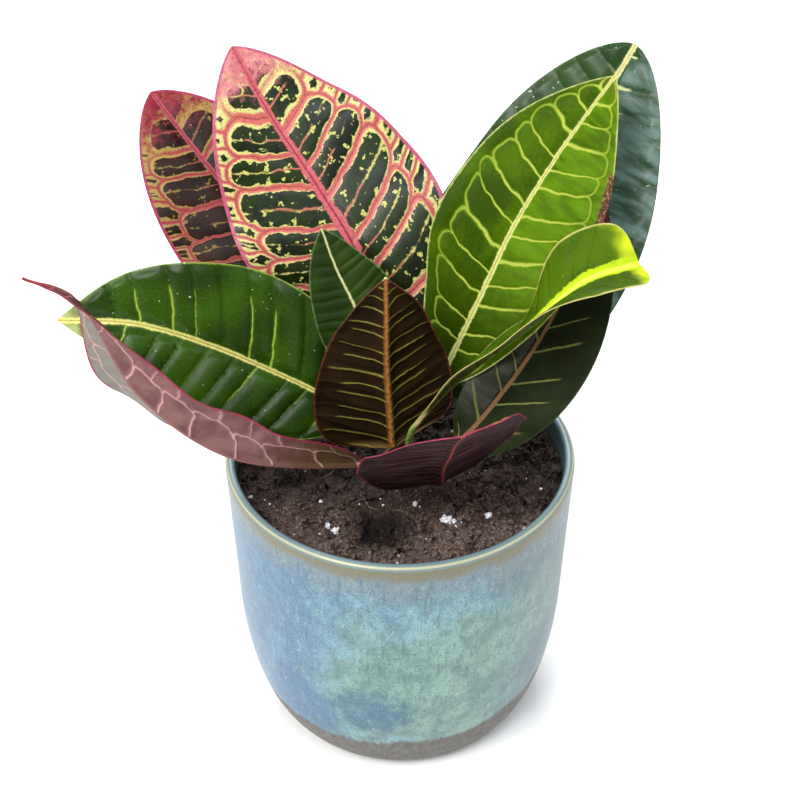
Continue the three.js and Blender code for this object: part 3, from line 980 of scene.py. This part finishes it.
LOOKS = {
    "red": look(
        ground=("#0a1402", "#1b2a08"), patch=12, spacing=16, slant=0.45, loop=0.83, rim_rows=2,
        vein=("#be625a", 1.1), core=("#842e30", 0.24), edge=("#c8be78", 1.55, 2.2),
        fleck=("#b8b864", 0.625), spur=("#b46a54", 0.35, 0.34), split=("#c0b468", 0.28),
        rib=("#8a2834", 0.6, 0.25), rib_edge=("#b8585e", 2.9, 1.3), margin=("#b0526c", 1.5),
        tip=("#c47076", 0.89), wander=3.6, petiole="#a85a50", roughness=0.36, thin=0,
    ),
    "maroon": look(
        ground=("#180c06", "#2c180f"), patch=12, spacing=14, slant=0.45, bend=0.003, loop=0.8,
        rim_rows=2, vein=("#9c4646", 0.75), core=("#7a2428", 0.18), edge=("#9c8448", 0.85, 1.6),
        fleck=("#7c6a34", 0.66), spur=("#8c5040", 0.25, 0.34), split=("#8c7a3c", 0.22),
        rib=("#82222e", 0.55, 0.25), rib_edge=("#a44a52", 1.8, 0.9), margin=("#9c3450", 1.3),
        tip=("#801f30", 0.9), wander=3.0, petiole="#8a4a42", gloss=0.0, shine=0.1, thin=0,
    ),
    "russet": look(
        ground=("#331412", "#2c2a10"), patch=5, spacing=9, vein=("#8a3a40", 0.3),
        rib=("#7c2c34", 0.6, 0.3), margin=("#7a2838", 0.7), tip=("#6a2830", 0.97), gloss=0.0,
        roughness=0.6, petiole="#5c4426",
    ),
    "green": look(
        ground=("#1c3405", "#34540a"), patch=30, spacing=10.5, slant=0.2, bend=0.006, whole=0.45,
        fade=0.6, vein=("#94ac38", 0.25), glow=("#40601a", 1.6), rib=("#8c7038", 0.28, 0.2),
        rib_edge=("#ccc870", 1.05, 1.2), margin=("#7c9438", 0.4), tip=("#c4c884", 0.955), relief=1.8,
        wander=2.6, gloss=0.08, roughness=0.36, shine=0.12, dust=("#c8d0b0", 0.76),
    ),
    "small": look(
        ground=("#1c2e08", "#2a3e0c"), patch=16, spacing=4.6, slant=0.3, whole=-0.6,
        rib=("#c6c48c", 0.75, 0.4), margin=("#56703c", 0.35), relief=0.4, gloss=0.05, roughness=0.5,
    ),
    "lime": look(
        ground=("#2c4400", "#466400"), patch=24, slant=0.28, bend=0.007, loop=0.8, whole=0.9,
        vein=("#a4b044", 0.36), glow=("#587c0a", 1.2), fade=1.1, rib=("#a08850", 0.28, 0.2),
        rib_edge=("#c8cc78", 1.25, 0.7), margin=("#b4b86c", 0.4), tip=("#5a3a22", 0.975), wander=3.2,
        petiole="#8aa850", relief=0.7, gloss=0.0, roughness=0.5, shine=0.05, corner=0.36, thin=0.55,
        foot=("#263a00", 0.5), dry=("#4a2e1e", 0.68, 0.12, 0.9, 1),
        bloom=("#587c08", 0.3, 0.6, 0.6, 0.0, 1),
    ),
    "bright": look(
        ground=("#2e4802", "#456206"), patch=20, spacing=9, slant=0.5, whole=-0.6,
        rib=("#d0d850", 0.5, 1.4), rib_edge=("#a8c018", 0.6, 3.6), margin=("#b0a860", 0.6),
        tip=("#c4d420", 0.967), relief=0.4, petiole="#8aa850", gloss=0.0, roughness=0.5, shine=0.06,
        dust=("#a8c060", 0.76),
    ),
    "deep": look(
        ground=("#1a3212", "#284418"), patch=30, spacing=11, slant=0.25, bend=0.006, whole=0.6,
        fade=0.35, vein=("#bcc480", 0.42), fleck=("#b8c498", 0.76), rib=("#a09058", 0.25, 0.2),
        rib_edge=("#c8c484", 1.4, 1.1), margin=("#3c5834", 0.35), relief=1.2, shine=0.16, roughness=0.42,
        # a painted sheen: pale bluish grey streaks over the right half
        wander=2.8, dust=("#c8d4cc", 0.74), bloom=("#688078", 0.15, 0.66, 0.3, 0.12, 1),
    ),
    "dark": look(
        ground=("#181e0a", "#222a12"), patch=20, spacing=12.5, slant=0.9, bend=-0.004, fade=0.7,
        vein=("#787c40", 0.26), rib=("#8a6444", 0.9, 0.5), margin=("#2c361c", 0.4),
        tip=("#5c2f28", 0.84), roughness=0.7, gloss=0.0, shine=0.08, relief=0.5, petiole="#7a5a34",
        # a painted sheen: a grey patch over the left half
        bloom=("#44443c", 0.3, 0.4, 0.3, 0.1, -1),
    ),
    "red_under": under_look(
        ground=("#6b4a40", "#7c5a4c"), spacing=14, slant=0.5, bend=0.003, loop=0.78,
        vein=("#b87a70", 0.5), rib=("#b86a60", 1.3, 0.5), margin=("#b86a70", 1.0), petiole="#a85a50",
    ),
    "green_under": under_look(
        ground=("#4d6a38", "#5c7a44"), spacing=11, slant=0.3, vein=("#8aa460", 0.45),
        rib=("#a8b070", 1.2, 0.5),
    ),
    "lime_under": under_look(
        ground=("#4a6c1c", "#5c8028"), spacing=9.6, slant=0.3, loop=0.8, vein=("#98b450", 0.45),
        rib=("#b8c078", 1.2, 0.5), petiole="#8aa850",
    ),
    # Painted shade: a darker copy of the lime underside for leaf_08, whose underside lies in shade; its
    # cream margin is the leaf's own.
    "shaded_olive_under": under_look(
        ground=("#2c380c", "#3e4c14"), patch=12, whole=-0.6, rib=("#6a6430", 0.8, 0.4),
        margin=("#c8b47c", 1.2), roughness=0.6, shine=0.08, sunk=0.25, petiole="#8aa850",
    ),
    "mauve_under": under_look(
        ground=("#64403f", "#7c5855"), patch=12, spacing=18, slant=0.9, bend=-0.006, loop=0.62,
        rim_rows=1, vein=("#c09490", 0.22), glow=("#8a6064", 1.6), rib=("#845854", 0.5, 0.4), corner=0.2,
        margin=("#8a2c44", 0.7), roughness=0.65, wander=4.5, petiole="#5c4426",
        bloom=("#7c7a72", 0.7, 0.72, 0.26, 0.0, 1), foot=("#544020", 0.3),
    ),
    "brown_under": under_look(
        ground=("#1a1004", "#281806"), patch=14, spacing=6.6, slant=0.35, bend=-0.004, fade=0.8,
        vein=("#857c34", 0.28), rib=("#a86c34", 0.5, 0.3), rib_edge=("#6c4a20", 1.4, 0.8),
        margin=("#6a2a2a", 0.5), roughness=0.7, shine=0.08, petiole="#8a7040",
    ),
    "purple_under": under_look(
        ground=("#241415", "#362428"), patch=14, spacing=5.6, slant=0.25, bend=0.0, fade=0.9,
        vein=("#6a3a3c", 0.24), rib=("#7c3a34", 0.5, 0.4), margin=("#70203a", 0.5), roughness=0.7,
        shine=0.08, wander=1.2, petiole="#6a3a3a",
    ),
}


def leaf_paint(name, look, length, seed):
    """length is the blade's, and seed sets its patterns apart from those of the other leaves."""
    paint = Paint(name)
    along, across, half = paint.attribute("blade")
    place = (along, across, seed * 40.0)
    reach = calc("ABSOLUTE", across)
    side = calc("SIGN", across)
    share = along / length
    spread = reach / half
    broad = paint.noise(place, look.patch, detail=2)
    bent = paint.noise(place, 7, detail=1) - 0.5
    fine = paint.noise(place, 1.1, detail=3, rough=0.6)
    ragged = paint.noise(place, 2.6, detail=3, rough=0.65) - 0.5
    rough_edge = (fine - 0.5) * 0.9
    wander = bent * look.wander
    veined = (along + wander, across + wander * 0.5)
    depth = vein_distance(look, *veined, half)
    between = depth_between(look, *veined)
    line = depth + rough_edge * 0.6

    row = calc("FLOOR", vein_row(look, *veined) + 0.5)
    luck = paint.noise((row * 3.7, side * 5.0, seed * 9.0), 1)
    shows = smooth(0.68 - look.whole * 0.4, 0.72 - look.whole * 0.4, luck)
    end = look.fade * (0.4 + luck * 1.2)
    shows = shows * smooth(end + 0.06, end - 0.06, spread + bent * 0.2)
    if look.edge:
        shows = shows * (1 - smooth(0.8, 0.9, share) * 0.9)

    def stripe(value, width, soft=0.3):
        return smooth(width + soft, width - soft, value)

    def stretch(where, reach_along, least, which):
        """1 on one side of the blade, from a share of its width out, around a place along it."""
        apart = calc("ABSOLUTE", share - where) + bent * 0.12
        near = smooth(reach_along * 1.2, reach_along * 0.8, apart)
        outer = smooth(least - 0.02, least + 0.02, spread + ragged * 0.14)
        return near * smooth(0.0, 0.3, side * which) * outer

    paint.ground(smooth(0.35, 0.65, broad + (fine - 0.5) * 0.3), *look.ground)
    if look.glow:
        tint, width = look.glow
        paint.coat(smooth(width, 0, depth) * shows * 0.7, tint)
    if look.fleck:
        tint, amount = look.fleck
        spots = paint.noise(place, 2.8, detail=2, rough=0.6) + smooth(4, 0, depth) * 0.06
        paint.coat(smooth(amount, amount + 0.03, spots), tint)
    if look.spur:
        tint, width, end = look.spur
        short = smooth(end + 0.12, end - 0.05, spread + bent) * smooth(0.42, 0.48, luck)
        paint.coat(stripe(between + rough_edge, width) * short, tint)
    if look.split:
        tint, width = look.split
        broken = smooth(0.3, 0.5, spread + bent * 1.4) * smooth(0.42, 0.5, broad)
        paint.coat(stripe(between + ragged * 2 + rough_edge, width) * broken, tint)
    if look.edge:
        tint, width, jag = look.edge
        rim = smooth(look.loop, look.loop + 0.08, spread) * 0.6
        near = depth + ragged * jag - rim - smooth(0.6, 0.95, share) * 1.5
        paint.coat(stripe(near, width, 0.2), tint)
    if look.tip:
        tint, start = look.tip
        broken = share + bent * 0.12
        if look.edge:
            broken = broken + ragged * 0.25
        paint.coat(smooth(start - 0.05, start + 0.05, broken) * 0.95, tint)
    # A lighter stretch on one half, in streaks along the side veins; on the deep and dark looks it is a
    # painted sheen.
    if look.bloom:
        tint, least, *where = look.bloom
        streak = smooth(0.32, 0.68, paint.noise((along, across * 0.3, seed * 7.0), 4.0, detail=2))
        paint.coat(stretch(*where) * (least + streak * (1 - least)), tint)
    if look.foot:
        tint, end = look.foot
        paint.coat(smooth(end, end * 0.4, share + ragged * 0.2) * 0.85, tint)
    tint, width = look.vein
    faint = 1 - smooth(0.4, 0.85, spread) * look.thin
    paint.coat(stripe(line, width * (1.35 - spread * 0.6)) * shows * faint, tint)
    if look.core:
        tint, width = look.core
        paint.coat(stripe(line, width, 0.2) * (0.4 + fine * 0.6) * shows, tint)
    tint, width = look.margin
    paint.coat(stripe(half - reach + rough_edge + ragged, width, 0.45), tint)
    if look.rib_edge:
        tint, base, end = look.rib_edge
        width = smooth(0, 1, share) * (end - base) + base
        paint.coat(stripe(reach + rough_edge + ragged * width, width, 0.35), tint)
    tint, base, end = look.rib
    width = smooth(0, 1, share) * (end - base) + base
    paint.coat(stripe(reach + rough_edge * 0.6, width, 0.25), tint)
    if look.core:
        freckles = smooth(0.6, 0.68, paint.noise(place, 0.8, detail=1))
        paint.coat(freckles * 0.6, "#2e1810")
    if look.dry:
        tint, *where = look.dry
        crisp = paint.mix(smooth(0.45, 0.65, fine), tint, "#94704e")
        paint.coat(stretch(*where), crisp)
    if look.dust:
        tint, amount = look.dust
        motes = smooth(amount, amount + 0.03, paint.noise(place, 1.3, detail=1))
        paint.coat(motes * 0.7, tint)
    paint.coat(smooth(4, -3, along), look.petiole)

    height = smooth(0, 1.6, depth) * look.sunk + fine * 0.05 + paint.noise(place, 0.45) * 0.03
    roughness = fine * 0.16 + (look.roughness - 0.08)
    return paint.finish(
        roughness, height, Specular_IOR_Level=look.shine, Coat_Weight=look.gloss,
        Coat_Roughness=0.25,
    )


def add_leaves():
    for seed, leaf in enumerate(LEAVES, 1):
        points = np.array(leaf.midrib, dtype=float)
        length = float(np.linalg.norm(np.diff(points, axis=0), axis=1).sum())
        materials = [
            leaf_paint(leaf.name + "_upper", LOOKS[leaf.upper], length, seed),
            leaf_paint(leaf.name + "_under", LOOKS[leaf.under], length, seed + 0.5),
        ]
        add_leaf(leaf, materials)


# ---------------- scene

add_camera()
add_stage()
add_pot()
add_soil()
add_stem()
add_leaves()

bpy.context.view_layer.update()
